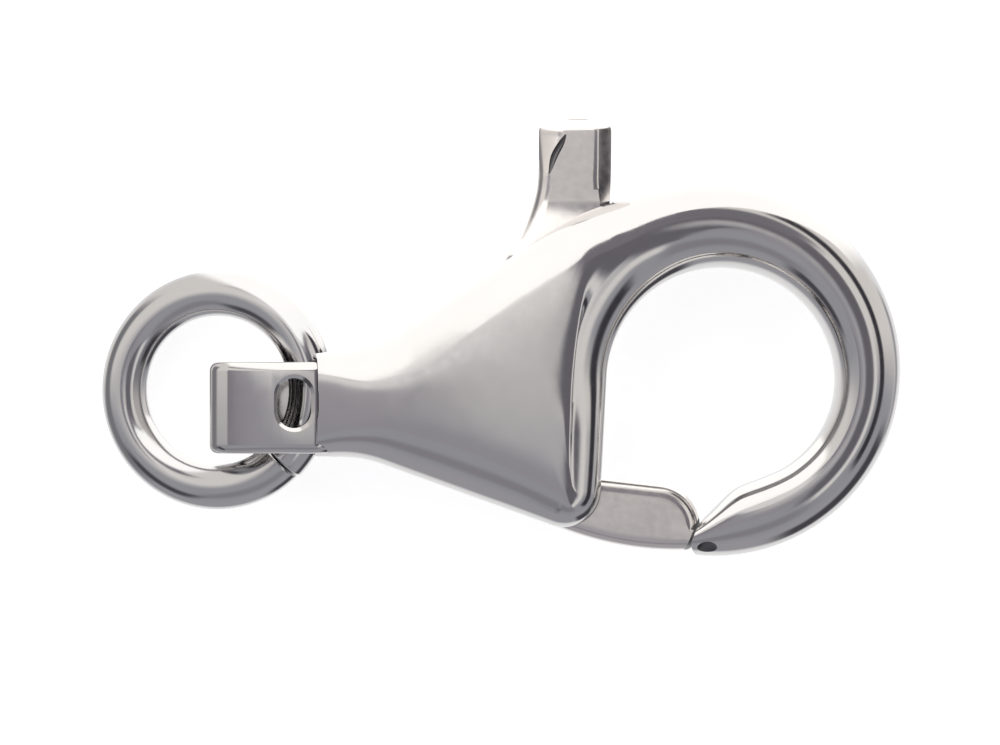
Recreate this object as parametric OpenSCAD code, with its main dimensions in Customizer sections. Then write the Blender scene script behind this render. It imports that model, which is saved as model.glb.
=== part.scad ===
// Lobster clasp with a jump ring in its tail loop, lying on its flat underside.
// Origin on the axis of the lever's pin, at the resting plane. +X towards the hook, +Z up. Millimetres.

/* [Hook] */
// Outer radius of the hook
hook_r = 4.04; // [3.7:0.02:4.4]
// Distance from the pin to the hook's centre, along the clasp
hook_x = 3.44; // [3.2:0.02:3.7]
// Distance from the pin to the hook's centre, across the clasp
hook_y = 2.35; // [2.15:0.02:2.55]
// Radius of the opening
opening_r = 2.48; // [2.3:0.02:2.6]
// Width of the hook at its top
hook_top_w = 1.82; // [1.65:0.02:2]
// Width of the hook at its far side
hook_side_w = 1.43; // [1.3:0.02:1.6]
// Thickness of the hook where it leaves the body
hook_t = 2.7; // [2.4:0.05:3]

/* [Body] */
// Thickness of the body between its two flat faces
body_t = 3.4; // [3.3:0.05:3.8]
// Width of the rounding along the long edges
edge_round = 0.86; // [0.7:0.02:0.95]
// Half height of the straight wall between the upper and the lower rounding
edge_wall = 0.8; // [0.72:0.02:0.95]
// Slope of the upper edge, in degrees
upper_slope = 33.5; // [30:0.5:37]
// Slope of the lower edge, in degrees
lower_slope = 19.8; // [18:0.2:22]
// Lean of the mouth's straight edge, in degrees
mouth_lean = 3; // [0:0.5:5]
// Radius of the corner below the mouth
corner_r = 0.8; // [0.7:0.02:0.9]

/* [Neck] */
// Distance from the pin back to the narrowest place of the neck
neck_x = 4.76; // [4.5:0.02:5.1]
// Distance from the pin to the neck's middle, across the clasp
neck_y = 1.66; // [1.5:0.02:1.8]
// Width of the neck
neck_w = 2.33; // [2.2:0.02:2.5]
// Thickness of the neck
neck_t = 2.8; // [2.7:0.02:3]
// Radius of the sweep from the neck into the body
neck_sweep = 2.7; // [2:0.1:3.2]

/* [Tail loop] */
// Length of the loop behind the neck
loop_len = 2.17; // [2:0.01:2.4]
// Width of the loop's strap
loop_w = 1.98; // [1.8:0.02:2.1]
// Thickness of the loop's strap
loop_wall = 0.46; // [0.4:0.02:0.5]
// Radius of the loop's outer corners
loop_corner = 0.42; // [0.3:0.02:0.5]
// Distance from the neck's middle down to the loop's middle
loop_drop = 0.13; // [0:0.01:0.15]
// Length of the window in the top of the strap, across the loop
window_len = 1.08; // [0.8:0.02:1.2]
// Width of the window
window_w = 0.74; // [0.5:0.02:0.8]

/* [Lever] */
// Width of the slot for the lever
slot_w = 1.3; // [1.2:0.02:1.4]
// Gap between the lever and each side of the slot
lever_gap = 0.05; // [0.03:0.01:0.08]
// Distance from the pin to the end of the gate
gate_reach = 3.27; // [3.1:0.01:3.4]
// Gap between the end of the gate and the tip of the hook
tip_gap = 0.08; // [0.05:0.01:0.12]
// Width of the gate in the middle of its length
gate_w = 1.44; // [1.3:0.01:1.5]
// Radius of the lever's eye around the pin
eye_r = 0.78; // [0.74:0.01:0.84]
// Width of the lever's arm
arm_w = 1.16; // [1.0:0.02:1.2]
// Width of the thumb tab
tab_w = 1.56; // [1.4:0.02:1.7]
// Height of the thumb tab above the body
tab_h = 1.8; // [1.6:0.05:2.2]
// Rounding of the lever's edges
lever_round = 0.2; // [0.1:0.02:0.3]
// Angle through which the lever opens, in degrees
open_angle = 28; // [20:1:30]

/* [Pin] */
// Radius of the pin
pin_r = 0.35; // [0.3:0.01:0.4]
// Depth of the pin in each cheek of the body
pin_bite = 0.7; // [0.5:0.02:0.85]
// Running clearance between the pin and the lever
pin_play = 0.04; // [0.02:0.01:0.08]
// Gap between the pin and its seats in the cheeks
pin_seat = 0.01; // [0.005:0.005:0.02]

/* [Jump ring] */
// Diameter of the ring's wire
ring_wire = 0.98; // [0.8:0.02:1.02]
// Outer diameter of the ring
ring_d = 5.2; // [5:0.05:5.4]
// Distance from the loop's middle to the ring's middle, across the clasp
ring_shift = 0.38; // [0:0.01:0.4]
// Play of the wire in the loop
ring_play = 0.03; // [0.02:0.01:0.06]

/* [Hidden] */

// Fineness of circles, of bends in degrees, of the sections along each shape and of their roundings
fine = 96;
arc_step = 5;
body_steps = 64;
hook_steps = 56;
arm_steps = 22;
tab_steps = 6;
gate_steps = 20;
pocket_steps = 10;
body_facets = 6;
lever_facets = 3;
// Longer than anything it cuts through
through = 20;

// Places that follow from the sizes
neck_back = 0.25;
mid_z = body_t / 2;
hook_top = hook_y + hook_r;
opening_x = hook_x + hook_r - hook_side_w - opening_r;
opening_y = hook_top - hook_top_w - opening_r;
neck_end = -neck_x - neck_back * neck_w;
neck_upper = neck_y + neck_w / 2;
neck_lower = neck_y - neck_w / 2;
loop_y = neck_y - loop_drop;
upper_run = hook_x + neck_x - (hook_top - neck_upper) / tan(upper_slope);
shoulder_r = upper_run / tan(upper_slope / 2) - neck_sweep;

// Flat geometry
function unit(v) = v / norm(v);
function polar(centre, r, angle) = centre + r * [cos(angle), sin(angle)];
function ease(x) = let (c = max(0, min(1, x))) c * c * (3 - 2 * c);
function mix(a, b, share) = a + (b - a) * share;

// The arc that rounds corner b between a and c
function bend(a, b, c, r) =
    let (
        u = unit(a - b),
        v = unit(c - b),
        half = acos(u * v) / 2,
        turn = 180 - 2 * half,
        middle = b + unit(u + v) * r / sin(half),
        first = b + u * r / tan(half) - middle,
        last = b + v * r / tan(half) - middle,
        n = max(2, ceil(turn / arc_step))
    )
    [for (i = [0:n]) middle + (first * sin(turn * (1 - i / n)) + last * sin(turn * i / n)) / sin(turn)];

// A line through the rows [point, radius], each inner one rounded
function rounded(rows) = concat(
    [rows[0][0]],
    [for (i = [1:len(rows) - 2]) each bend(rows[i - 1][0], rows[i][0], rows[i + 1][0], rows[i][1])],
    [rows[len(rows) - 1][0]]
);

// Running lengths of a line, and the place at a share of its whole length
function running(line, i = 0, sum = 0) =
    i == len(line) - 1 ? [sum] : concat([sum], running(line, i + 1, sum + norm(line[i + 1] - line[i])));
function place(line, lengths, share) =
    let (
        at = share * lengths[len(lengths) - 1],
        xs = [for (i = [0:len(line) - 1]) [lengths[i], line[i].x]],
        ys = [for (i = [0:len(line) - 1]) [lengths[i], line[i].y]]
    )
    [lookup(at, xs), lookup(at, ys)];

// One column of a table as a smooth curve over its first column
function slope(table, c, k) =
    let (a = max(0, k - 1), b = min(len(table) - 1, k + 1))
    (table[b][c] - table[a][c]) / (table[b][0] - table[a][0]);
function column(table, c, t) =
    let (
        k = max([for (i = [0:len(table) - 2]) if (i == 0 || table[i][0] <= t) i]),
        step = table[k + 1][0] - table[k][0],
        s = (t - table[k][0]) / step,
        rise = s * s * (3 - 2 * s)
    )
    mix(table[k][c], table[k + 1][c], rise)
        + step * s * (1 - s) * (slope(table, c, k) * (1 - s) - slope(table, c, k + 1) * s);

// Direction of a list of points at point i
function heading(points, i) = unit(points[min(i + 1, len(points) - 1)] - points[max(i - 1, 0)]);

// Columns of a station: its two edge points, half thickness, half height of the straight wall, two
// roundings, and how far the roundings run straight across instead of square to the edges
LEFT = 0;
RIGHT = 1;
HALF = 2;
WALL = 3;
LEFT_ROUND = 4;
RIGHT_ROUND = 5;
ACROSS = 6;

// A closed section through a station, from its left edge over the top to its right edge and back below
function section(stations, i, facets) =
    let (
        s = stations[i],
        a = heading([for (one = stations) one[LEFT]], i),
        b = heading([for (one = stations) one[RIGHT]], i),
        across = unit(s[RIGHT] - s[LEFT]),
        left_in = unit(mix([a.y, -a.x], across, s[ACROSS])),
        right_in = unit(mix([-b.y, b.x], -across, s[ACROSS])),
        steps = [for (k = [0:facets]) 90 * k / facets],
        left_top = [for (g = steps) [
            each s[LEFT] + left_in * s[LEFT_ROUND] * (1 - cos(g)),
            mix(s[WALL], s[HALF], sin(g))
        ]],
        right_top = [for (g = steps) [
            each s[RIGHT] + right_in * s[RIGHT_ROUND] * (1 - cos(g)),
            mix(s[WALL], s[HALF], sin(g))
        ]],
        top = concat(left_top, [for (k = [facets:-1:0]) right_top[k]]),
        below = [for (k = [len(top) - 1:-1:0]) [top[k].x, top[k].y, -top[k].z]]
    )
    concat(top, below);

// A solid through all stations, centred on the middle plane
module loft(stations, facets) {
    points = [for (i = [0:len(stations) - 1]) each section(stations, i, facets)];
    n = 4 * (facets + 1);
    last = (len(stations) - 1) * n;
    sides = [
        for (i = [0:n:last - n], k = [0:n - 1])
            let (a = i + k, b = i + (k + 1) % n)
            each [[a, a + n, b + n], [a, b + n, b]]
    ];
    caps = [for (k = [1:n - 2]) each [[0, k, k + 1], [last, last + k + 1, last + k]]];
    translate([0, 0, mid_z]) polyhedron(points = points, faces = concat(sides, caps));
}

// The lower edge of the body meets the straight edge of the mouth at a corner
mouth_foot = polar([opening_x, opening_y], opening_r, 180 - mouth_lean);
mouth_way = [sin(mouth_lean), cos(mouth_lean)];
mouth_head = mouth_foot + mouth_way * (opening_y + opening_r - mouth_foot.y) / mouth_way.y;
lower_bend = [-neck_x + neck_sweep * tan(lower_slope / 2), neck_lower];
lower_way = [cos(lower_slope), -sin(lower_slope)];
foot_gap = mouth_foot - lower_bend;
mouth_corner = lower_bend + lower_way * (foot_gap.x * mouth_way.y - foot_gap.y * mouth_way.x)
    / (lower_way.x * mouth_way.y - lower_way.y * mouth_way.x);

// Outline of the body: the upper edge, and the lower edge with its corner, the mouth and the opening.
// The end of the neck droops by a share of the loop's drop
neck_droop = 0.6 * loop_drop;
upper_line = rounded([
    [[neck_end, neck_upper - neck_droop], 0],
    [[-neck_x + neck_sweep * tan(upper_slope / 2), neck_upper], neck_sweep],
    [[hook_x - shoulder_r * tan(upper_slope / 2), hook_top], shoulder_r],
    [[hook_x, hook_top], 0]
]);
lower_line = rounded([
    [[neck_end, neck_lower - neck_droop], 0],
    [lower_bend, neck_sweep],
    [mouth_corner, corner_r],
    [mouth_head, opening_r],
    [[opening_x, opening_y + opening_r], 0]
]);
upper_lengths = running(upper_line);
lower_lengths = running(lower_line);

// Sections of the body, from the neck to the top of the hook: the share of the way along the upper
// and the lower edge, and the two roundings as shares of edge_round
UPPER = 1;
LOWER = 2;
UPPER_ROUND = 3;
LOWER_ROUND = 4;
body_table = [
    [0.00, 0.00, 0.00, 0.64, 0.64],
    [0.10, 0.11, 0.10, 0.74, 0.72],
    [0.20, 0.24, 0.23, 0.90, 0.94],
    [0.28, 0.35, 0.34, 0.98, 0.98],
    [0.35, 0.42, 0.41, 1.00, 0.72],
    [0.41, 0.47, 0.455, 1.02, 0.36],
    [0.47, 0.52, 0.50, 1.06, 0.42],
    [0.54, 0.57, 0.56, 1.10, 0.66],
    [0.62, 0.63, 0.65, 1.16, 0.82],
    [0.70, 0.68, 0.75, 1.22, 0.84],
    [0.78, 0.73, 0.84, 1.30, 0.88],
    [0.86, 0.79, 0.905, 1.40, 0.96],
    [1.00, 1.00, 1.00, 1.40, 1.00]
];

// The flat face lies between two of these stations and closes into the hook's crown from a third
face_from = 0.22;
face_to = 0.85;
crown_from = 0.74;

// The crown's place across the hook and its flat width, both as shares of the local width, and the
// straight wall left at the neck and on the hook, as shares of edge_wall
crown_place = 0.57;
crown_flat = 0.03;
neck_wall = 0.65;
hook_wall = 0.2;
outer_share = crown_place - crown_flat / 2;
inner_share = 1 - crown_place - crown_flat / 2;
function body_station(t) =
    let (
        upper = place(upper_line, upper_lengths, column(body_table, UPPER, t)),
        lower = place(lower_line, lower_lengths, column(body_table, LOWER, t)),
        neckness = 1 - ease(t / face_from),
        hookness = ease((t - face_to) / (1 - face_to)),
        crown = ease((t - crown_from) / (face_to - crown_from)),
        width = norm(upper - lower)
    )
    [
        upper,
        lower,
        mix(mix(body_t, neck_t, neckness), hook_t, hookness) / 2,
        edge_wall * (1 - (1 - neck_wall) * neckness - (1 - hook_wall) * hookness),
        mix(edge_round * column(body_table, UPPER_ROUND, t), width * outer_share, crown),
        mix(edge_round * column(body_table, LOWER_ROUND, t), width * inner_share, crown),
        crown
    ];

// Sections of the hook, from its top round to its tip: the opening's radius and the thickness as
// shares of opening_r and hook_t
OPENING = 1;
THICKNESS = 2;
hook_table = [
    [0.00, 1.00, 1.00],
    [0.27, 1.00, 0.93],
    [0.50, 1.00, 0.85],
    [0.66, 0.97, 0.80],
    [0.76, 0.942, 0.77],
    [0.85, 0.916, 0.75],
    [0.92, 0.93, 0.73],
    [0.96, 0.995, 0.71],
    [1.00, 1.13, 0.67],
    [1.05, 1.36, 0.62]
];
past_tip = 1.05;

// The tip ends on a circle around the pin, just clear of the gate
tip_r = gate_reach + tip_gap;
rim_r = hook_r - hook_side_w / 2;
tip_bend = acos((hook_x * hook_x + hook_y * hook_y + rim_r * rim_r - tip_r * tip_r)
    / (2 * norm([hook_x, hook_y]) * rim_r));
hook_turn = 270 - atan(hook_y / hook_x) - tip_bend;
function hook_station(t) =
    let (
        angle = 90 - hook_turn * t,
        outer = polar([hook_x, hook_y], hook_r, angle),
        inner = polar([opening_x, opening_y], opening_r * column(hook_table, OPENING, t), angle),
        width = norm(outer - inner),
        thickness = column(hook_table, THICKNESS, t)
    )
    [
        outer,
        inner,
        hook_t / 2 * thickness,
        hook_wall * edge_wall * thickness,
        width * outer_share,
        width * inner_share,
        1
    ];
shell_stations = concat(
    [for (i = [0:body_steps - 1]) body_station(i / body_steps)],
    [for (i = [0:hook_steps]) hook_station(past_tip * i / hook_steps)]
);

// The tail loop is a flat strap bent to a loop. Its eye reaches into the neck and leaves room for
// the ring's wire, which sags away from the pivot towards the sides of the strap
ring_mean = (ring_d - ring_wire) / 2;
ring_y = loop_y + ring_shift;
eye_side = ring_y - (neck_lower - neck_droop);
ring_sag = ring_mean - sqrt(ring_mean * ring_mean - eye_side * eye_side);

// Shares of that sag that the eye leaves below and above the ring's wire
sag_down = 0.3;
sag_up = 0.9;
eye_h = ring_wire + (sag_up + sag_down) * ring_sag + 2 * ring_play;
eye_round = 0.45;
eye_depth = 0.57;
loop_end = neck_end - loop_len;
eye_left = loop_end + loop_wall;
eye_right = neck_end + eye_depth;
pivot_x = eye_right - 2 * ring_play - ring_wire / 2;
pivot_z = mid_z - eye_h / 2 + ring_play + ring_wire / 2 + sag_down * ring_sag;
ring_tilt = asin((pivot_z - ring_wire / 2) / (2 * ring_mean));

// A bar along Y with rounded corners, centred on the loop
module bar(x0, x1, height, r, width) {
    translate([0, loop_y + width / 2, mid_z]) rotate([90, 0, 0]) linear_extrude(width) {
        translate([x0, -height / 2 + r]) square([x1 - x0, height - 2 * r]);
        translate([x0 + r, -height / 2]) square([x1 - x0 - 2 * r, height]);
        for (x = [x0 + r, x1 - r], z = [-1, 1])
            translate([x, z * (height / 2 - r)]) circle(r, $fn = fine);
    }
}

strap_root = 0.1;
module strap() {
    bar(loop_end, neck_end + strap_root + loop_corner, eye_h + 2 * loop_wall, loop_corner, loop_w);
}

window_shift = 0.1;
window_over = 0.04;
module window() {
    translate([neck_end + window_over - window_w / 2, loop_y + window_shift, mid_z]) linear_extrude(through) {
        square([window_w, window_len - window_w], center = true);
        for (side = [-1, 1])
            translate([0, side * (window_len - window_w) / 2]) circle(window_w / 2, $fn = fine);
    }
}

// Outlines of the lever's gate. Its lower side carries on from the body's lower edge
gate_mid = 0.433 * gate_reach;
gate_low = lower_bend.y - (gate_mid - lower_bend.x) * tan(lower_slope);
gate_sweep = 6.8;
gate_taper = 6.5;
gate_corner = 0.95;
gate_chin = 0.3;
gate_head = 0.65 * gate_reach;
function gate_top(x) = gate_low + gate_w - (x - gate_head) * tan(gate_taper);
gate_start = -0.5 * eye_r;
gate_end = 0.957 * gate_reach;
gate_upper_line = rounded([
    [[gate_start, gate_top(gate_start)], 0],
    [[gate_end, gate_top(gate_end)], gate_corner],
    [[gate_end, gate_low + gate_chin * gate_w], 0]
]);
gate_lower_line = rounded([
    [[gate_start, gate_low + (gate_mid - gate_start) * tan(lower_slope)], 0],
    [[gate_mid, gate_low], gate_sweep],
    [[gate_end, gate_low], 0]
]);
gate_upper_lengths = running(gate_upper_line);
gate_lower_lengths = running(gate_lower_line);
lever_half = slot_w / 2 - lever_gap;
function gate_station(t) = [
    place(gate_upper_line, gate_upper_lengths, t),
    place(gate_lower_line, gate_lower_lengths, t),
    lever_half,
    lever_half - lever_round,
    lever_round,
    lever_round,
    0
];

// The arm from the pin up to the top of the tab: height as a share of the whole, the left side as a
// share of the arm's width, the right side as a share of the tab's width
ARM_LEFT = 1;
ARM_RIGHT = 2;
tab_right = 0.77 * tab_w;
tab_top = hook_top - shoulder_r + sqrt(shoulder_r * shoulder_r - pow(hook_x - tab_right, 2)) + tab_h;
arm_table = [
    [0.000, -0.52, 0.25],
    [0.380, -0.52, 0.26],
    [0.500, -0.60, 0.38],
    [0.560, -0.76, 0.47],
    [0.603, -0.95, 0.55],
    [0.663, -0.675, 0.65],
    [0.733, -0.485, 0.73],
    [0.817, -0.345, 0.76],
    [0.960, -0.32, 0.77],
    [1.000, -0.32, 0.77]
];
tab_round = 0.28;
function arm_station(t) =
    let (
        y = tab_top * t,
        left = arm_w * column(arm_table, ARM_LEFT, t),
        right = tab_w * column(arm_table, ARM_RIGHT, t),
        dip = max(0, y - (tab_top - tab_round)) / tab_round,
        shrink = tab_round * (1 - sqrt(1 - dip * dip)),
        squeeze = min(shrink, 0.9 * lever_round)
    )
    [
        [left + shrink, y],
        [right - shrink, y],
        lever_half - squeeze,
        lever_half - lever_round,
        lever_round,
        lever_round,
        1
    ];

// The last sections close in on the tab's top edge, up to this angle of its rounding
tab_turn = 85;
tab_share = tab_round / tab_top;
arm_stations = concat(
    [for (i = [0:arm_steps]) arm_station(i / arm_steps * (1 - tab_share))],
    [for (i = [1:tab_steps]) arm_station(1 - tab_share * (1 - sin(tab_turn * i / tab_steps)))]
);
gate_stations = [for (i = [0:gate_steps]) gate_station(i / gate_steps)];

// The pocket for the lever, from its closed to its open place. It is open below, from the heel to
// the mouth, and above, where the tab swings; flare and exit are shares of the arm's length
swing_gap = 0.06;
spare_angle = 1.5;
flare_share = 0.603;
wall_share = 0.1;
exit_share = 0.8;
function turned(p) = let (g = open_angle + spare_angle)
    [p.x * cos(g) - p.y * sin(g), p.x * sin(g) + p.y * cos(g)];
function arm_left(t) = turned([arm_w * column(arm_table, ARM_LEFT, t) - swing_gap, tab_top * t]);
function arm_right(t) = [tab_w * column(arm_table, ARM_RIGHT, t) + swing_gap, tab_top * t];
heel_x = -eye_r - swing_gap;
gate_roof = turned([gate_end, gate_top(gate_end) + swing_gap]);
roof_slope = tan(open_angle + spare_angle - gate_taper);
roof_x = arm_right(wall_share).x;
roof_y = gate_roof.y - (gate_roof.x - roof_x) * roof_slope;
module pocket() {
    translate([0, 0, mid_z]) linear_extrude(slot_w, center = true) {
        circle(eye_r + swing_gap, $fn = fine);
        polygon(concat(
            [[heel_x, 0], [heel_x, -through], [gate_end, -through], gate_roof, [roof_x, roof_y]],
            [for (i = [0:pocket_steps]) arm_right(mix(wall_share, exit_share, i / pocket_steps))],
            [[arm_right(exit_share).x, through], [arm_left(flare_share).x, through]],
            [for (i = [pocket_steps:-1:1]) arm_left(flare_share * i / pocket_steps)]
        ));
    }
}

module body() {
    color([0.8, 0.8, 0.82]) difference() {
        union() {
            loft(shell_stations, body_facets);
            strap();
        }
        pocket();
        translate([0, 0, mid_z])
            cylinder(h = slot_w + 2 * pin_bite, r = pin_r + pin_seat, center = true, $fn = fine);
        bar(eye_left, eye_right, eye_h, eye_round, through);
        window();
        intersection() {
            cylinder(h = through, r = tip_r, $fn = 2 * fine);
            translate([gate_reach / 2, -through, 0]) cube(through);
        }
    }
}

module lever() {
    color([0.75, 0.74, 0.73]) difference() {
        union() {
            loft(arm_stations, lever_facets);
            loft(gate_stations, lever_facets);
            translate([0, 0, mid_z]) cylinder(h = 2 * lever_half, r = eye_r, center = true, $fn = fine);
        }
        cylinder(h = through, r = pin_r + pin_play, $fn = fine);
        difference() {
            translate([gate_reach / 2, -through, 0]) cube(through);
            cylinder(h = through, r = gate_reach, $fn = 2 * fine);
        }
    }
}

module pin() {
    color([0.6, 0.6, 0.62]) translate([0, 0, mid_z])
        cylinder(h = slot_w + 2 * (pin_bite - pin_seat), r = pin_r, center = true, $fn = fine);
}

module jump_ring() {
    color([0.85, 0.85, 0.87]) translate([pivot_x, ring_y, pivot_z]) rotate([0, -ring_tilt, 0])
        translate([-ring_mean, 0, 0]) rotate_extrude($fn = fine)
            translate([ring_mean, 0]) circle(ring_wire / 2, $fn = fine / 2);
}

body();
lever();
pin();
jump_ring();
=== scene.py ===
# Looks of a small lobster clasp with its jump ring, in polished silver on a pale floor.
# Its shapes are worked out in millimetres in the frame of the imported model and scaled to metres.
import math

import bmesh
import bpy
import numpy as np
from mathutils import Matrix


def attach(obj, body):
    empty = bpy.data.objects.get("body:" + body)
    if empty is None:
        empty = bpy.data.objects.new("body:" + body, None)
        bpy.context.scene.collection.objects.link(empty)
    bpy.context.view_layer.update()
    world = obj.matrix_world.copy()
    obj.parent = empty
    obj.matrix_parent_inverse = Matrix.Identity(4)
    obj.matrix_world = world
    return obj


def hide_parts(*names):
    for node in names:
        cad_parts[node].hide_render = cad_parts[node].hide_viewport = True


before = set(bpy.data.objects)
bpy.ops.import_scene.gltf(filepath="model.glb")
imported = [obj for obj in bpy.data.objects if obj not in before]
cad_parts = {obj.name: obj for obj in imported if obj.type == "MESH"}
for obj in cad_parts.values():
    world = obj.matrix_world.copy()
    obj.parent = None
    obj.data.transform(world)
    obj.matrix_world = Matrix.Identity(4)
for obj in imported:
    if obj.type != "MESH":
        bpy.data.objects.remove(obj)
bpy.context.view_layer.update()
MM = 0.001

# Sizes of the part in millimetres and degrees, as in its source
HOOK_R, HOOK_X, HOOK_Y = 4.04, 3.44, 2.35
OPENING_R, HOOK_TOP_W, HOOK_SIDE_W, HOOK_T = 2.48, 1.82, 1.43, 2.7
BODY_T, EDGE_ROUND, EDGE_WALL = 3.4, 0.86, 0.8
UPPER_SLOPE, LOWER_SLOPE, MOUTH_LEAN, CORNER_R = 33.5, 19.8, 3.0, 0.8
NECK_X, NECK_Y, NECK_W, NECK_T, NECK_SWEEP = 4.76, 1.66, 2.33, 2.8, 2.7
LOOP_LEN, LOOP_W, LOOP_WALL, LOOP_CORNER, LOOP_DROP = 2.17, 1.98, 0.46, 0.42, 0.13
WINDOW_LEN, WINDOW_W, WINDOW_SHIFT, WINDOW_OVER = 1.08, 0.74, 0.1, 0.04
SLOT_W, LEVER_GAP, GATE_REACH, TIP_GAP, GATE_W = 1.3, 0.05, 3.27, 0.08, 1.44
EYE_R, ARM_W, TAB_W, TAB_H, LEVER_ROUND, OPEN_ANGLE = 0.78, 1.16, 1.56, 1.8, 0.2, 28.0
PIN_R, PIN_BITE, PIN_PLAY, PIN_SEAT = 0.35, 0.7, 0.04, 0.01
RING_WIRE, RING_D, RING_SHIFT, RING_PLAY = 0.98, 5.2, 0.38, 0.03
# Far enough for a cutter to run past everything, and the points of round cutters
THROUGH, HUB_POINTS, PIN_POINTS = 20.0, 96, 64


def unit(v):
    """A vector brought to length one."""
    v = np.asarray(v, float)
    return v / np.linalg.norm(v)


def ease(x):
    """A soft step from 0 to 1 while x runs from 0 to 1."""
    c = np.clip(x, 0.0, 1.0)
    return c * c * (3 - 2 * c)


def mix(a, b, share):
    """A blend of a and b, with that share of b."""
    return a + (b - a) * share


def polar(centre, r, angle):
    """Points at a distance and an angle from a centre."""
    return np.stack([centre[0] + r * np.cos(angle), centre[1] + r * np.sin(angle)], axis=-1)


def bend(a, b, c, r, step=0.25):
    """The arc that rounds corner b between a and c."""
    u, v = unit(a - b), unit(c - b)
    half = math.acos(float(u @ v)) / 2
    turn = math.pi - 2 * half
    middle = b + unit(u + v) * r / math.sin(half)
    first = b + u * r / math.tan(half) - middle
    last = b + v * r / math.tan(half) - middle
    n = max(2, math.ceil(math.degrees(turn) / step))
    return [middle + (first * math.sin(turn * (1 - i / n)) + last * math.sin(turn * i / n)) / math.sin(turn)
            for i in range(n + 1)]


def rounded(rows):
    """A line through the rows (point, radius), each inner one rounded."""
    at = [np.array(point, float) for point, _ in rows]
    line = [at[0]]
    for i in range(1, len(rows) - 1):
        line += bend(at[i - 1], at[i], at[i + 1], rows[i][1])
    return np.array(line + [at[-1]])


def place(line, shares):
    """The places at shares of a line's whole length."""
    steps = np.r_[0, np.cumsum(np.linalg.norm(np.diff(line, axis=0), axis=1))]
    at = np.asarray(shares) * steps[-1]
    return np.stack([np.interp(at, steps, line[:, 0]), np.interp(at, steps, line[:, 1])], axis=-1)


def column(table, c, t):
    """One column of a table as a smooth curve over its first column."""
    table = np.array(table)
    x, y = table[:, 0], table[:, c]
    low = np.maximum(np.arange(len(x)) - 1, 0)
    high = np.minimum(np.arange(len(x)) + 1, len(x) - 1)
    slope = (y[high] - y[low]) / (x[high] - x[low])
    t = np.asarray(t, float)
    k = np.clip(np.searchsorted(x, t, side="right") - 1, 0, len(x) - 2)
    step = x[k + 1] - x[k]
    s = (t - x[k]) / step
    sway = step * s * (1 - s) * (slope[k] * (1 - s) - slope[k + 1] * s)
    return mix(y[k], y[k + 1], s * s * (3 - 2 * s)) + sway


# Places that follow from the sizes
MID = BODY_T / 2
HOOK_TOP = HOOK_Y + HOOK_R
OPENING = np.array([HOOK_X + HOOK_R - HOOK_SIDE_W - OPENING_R, HOOK_TOP - HOOK_TOP_W - OPENING_R])
# How far the neck runs past NECK_X, as a share of its width
NECK_PAST = 0.25
NECK_END = -NECK_X - NECK_PAST * NECK_W
NECK_UP, NECK_LOW = NECK_Y + NECK_W / 2, NECK_Y - NECK_W / 2
LOOP_Y = NECK_Y - LOOP_DROP
# How much of the loop's drop the neck's end takes part in
DROOP_SHARE = 0.6
DROOP = DROOP_SHARE * LOOP_DROP
UP_TAN, LOW_TAN = math.tan(math.radians(UPPER_SLOPE)), math.tan(math.radians(LOWER_SLOPE))
UP_HALF, LOW_HALF = math.tan(math.radians(UPPER_SLOPE / 2)), math.tan(math.radians(LOWER_SLOPE / 2))
SHOULDER_R = (HOOK_X + NECK_X - (HOOK_TOP - NECK_UP) / UP_TAN) / UP_HALF - NECK_SWEEP
mouth_foot = polar(OPENING, OPENING_R, math.radians(180 - MOUTH_LEAN))
mouth_way = np.array([math.sin(math.radians(MOUTH_LEAN)), math.cos(math.radians(MOUTH_LEAN))])
mouth_head = mouth_foot + mouth_way * (OPENING[1] + OPENING_R - mouth_foot[1]) / mouth_way[1]
lower_bend = np.array([-NECK_X + NECK_SWEEP * LOW_HALF, NECK_LOW])
lower_way = unit([1, -LOW_TAN])
foot_gap = mouth_foot - lower_bend
mouth_corner = lower_bend + lower_way * (foot_gap[0] * mouth_way[1] - foot_gap[1] * mouth_way[0]) / (
    lower_way[0] * mouth_way[1] - lower_way[1] * mouth_way[0])
upper_line = rounded([
    ((NECK_END, NECK_UP - DROOP), 0),
    ((-NECK_X + NECK_SWEEP * UP_HALF, NECK_UP), NECK_SWEEP),
    ((HOOK_X - SHOULDER_R * UP_HALF, HOOK_TOP), SHOULDER_R),
    ((HOOK_X, HOOK_TOP), 0)])
lower_line = rounded([
    ((NECK_END, NECK_LOW - DROOP), 0),
    (lower_bend, NECK_SWEEP),
    (mouth_corner, CORNER_R),
    (mouth_head, OPENING_R),
    ((OPENING[0], OPENING[1] + OPENING_R), 0)])

# Sections of the body from the neck to the hook's top: place from 0 to 1, shares of the way along the
# upper and the lower edge, and the upper and lower rounding as shares of EDGE_ROUND
BODY = [
    (0.00, 0.000, 0.000, 0.48, 0.48), (0.06, 0.065, 0.060, 0.66, 0.66), (0.12, 0.130, 0.125, 0.94, 0.92),
    (0.20, 0.240, 0.230, 1.17, 1.10), (0.28, 0.350, 0.340, 1.14, 1.02), (0.35, 0.420, 0.410, 1.10, 0.80),
    (0.41, 0.470, 0.455, 1.10, 0.62), (0.47, 0.520, 0.500, 1.12, 0.76), (0.54, 0.570, 0.560, 1.14, 0.88),
    (0.62, 0.630, 0.650, 1.18, 0.98), (0.70, 0.680, 0.750, 1.22, 1.02), (0.78, 0.730, 0.840, 1.30, 1.04),
    (0.86, 0.790, 0.905, 1.40, 1.04), (1.00, 1.000, 1.000, 1.40, 1.00)]
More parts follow.
